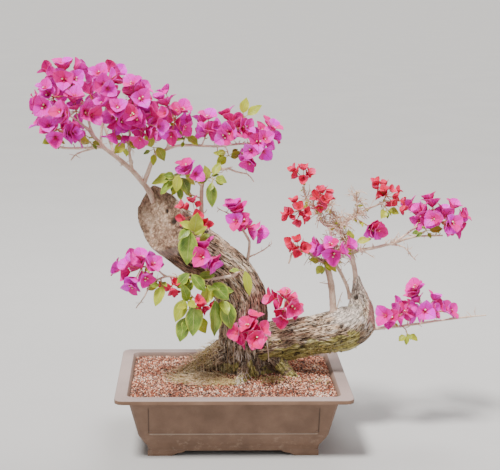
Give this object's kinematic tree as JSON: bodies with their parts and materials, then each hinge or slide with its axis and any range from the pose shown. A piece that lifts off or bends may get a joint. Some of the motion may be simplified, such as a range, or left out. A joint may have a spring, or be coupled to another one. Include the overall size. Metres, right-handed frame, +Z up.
{
  "type": "potted bonsai tree",
  "caption": "Flowering bougainvillea bonsai with a forked old trunk, papery bloom sprays and leafy stems, planted in gravel in a low rectangular pot on feet.",
  "frame": {"origin": "centre of the bounding box's underside, on the surface that the pot's feet stand on", "axes": "+X to the right as seen from the front, +Y to the back, +Z up"},
  "size_m": [0.7936, 0.295, 0.6695],
  "materials": {
    "pot_plastic": "satin",
    "screen_plastic": "matte",
    "gravel": "matte",
    "bark": "matte",
    "bract": "matte",
    "young_bract": "matte",
    "leaf": "satin"
  },
  "bodies": {
    "root": {"pot": "pot_plastic", "drain_screen_left": "screen_plastic", "drain_screen_right": "screen_plastic", "soil": "gravel", "tree": "bark", "bloom_spray_top_left": "bract", "bloom_spray_left_edge": "bract", "bloom_spray_left_low": "bract", "bloom_spray_left_front": "bract", "bloom_spray_crown": "bract", "bloom_spray_crown_front": "bract", "bloom_spray_crown_back": "bract", "bloom_spray_crown_right": "bract", "bloom_spray_second_head": "bract", "bloom_spray_second_rear": "bract", "bloom_spray_right_of_crown": "bract", "bloom_spray_middle_left": "bract", "bloom_spray_middle_top": "bract", "bloom_spray_middle_right": "bract", "bloom_spray_shoulder": "bract", "bloom_spray_shoulder_young": "young_bract", "bloom_spray_crest": "bract", "bloom_spray_front_left": "bract", "bloom_spray_front_middle": "bract", "bloom_spray_front_young_left": "young_bract", "bloom_spray_front_young_right": "young_bract", "bloom_spray_base_front": "bract", "bloom_spray_base_back": "bract", "bloom_spray_upper_left_top": "young_bract", "bloom_spray_upper_left_side": "young_bract", "bloom_spray_upper_middle": "young_bract", "bloom_spray_upper_rear": "young_bract", "bloom_spray_centre_right": "bract", "bloom_spray_inner_left": "young_bract", "bloom_spray_long_right_single": "bract", "bloom_spray_upper_right": "young_bract", "bloom_spray_long_right_end": "bract", "bloom_spray_long_right_rear": "bract", "bloom_spray_right_low_near": "bract", "bloom_spray_right_low_end": "bract", "leafy_stem_front_upper": "leaf", "leafy_stem_front_middle": "leaf", "leafy_stem_front_right": "leaf", "leafy_stem_front_low": "leaf", "leafy_stem_front_end": "leaf", "leafy_stem_trunk_front": "leaf", "leafy_stem_shoulder_left": "leaf", "leafy_stem_shoulder_bend": "leaf", "leafy_stem_left_spur": "leaf", "leafy_stem_left_low_tip": "leaf", "leafy_stem_second": "leaf", "leafy_stem_third_first": "leaf", "leafy_stem_third_second": "leaf", "leafy_stem_middle_top": "leaf", "leafy_stem_middle_low": "leaf", "leafy_stem_inner_right": "leaf", "leafy_stem_third_knot": "leaf", "leafy_stem_long_right": "leaf", "leafy_stem_right_low": "leaf", "leafy_stem_upper_right": "leaf"}
  },
  "joints": []
}
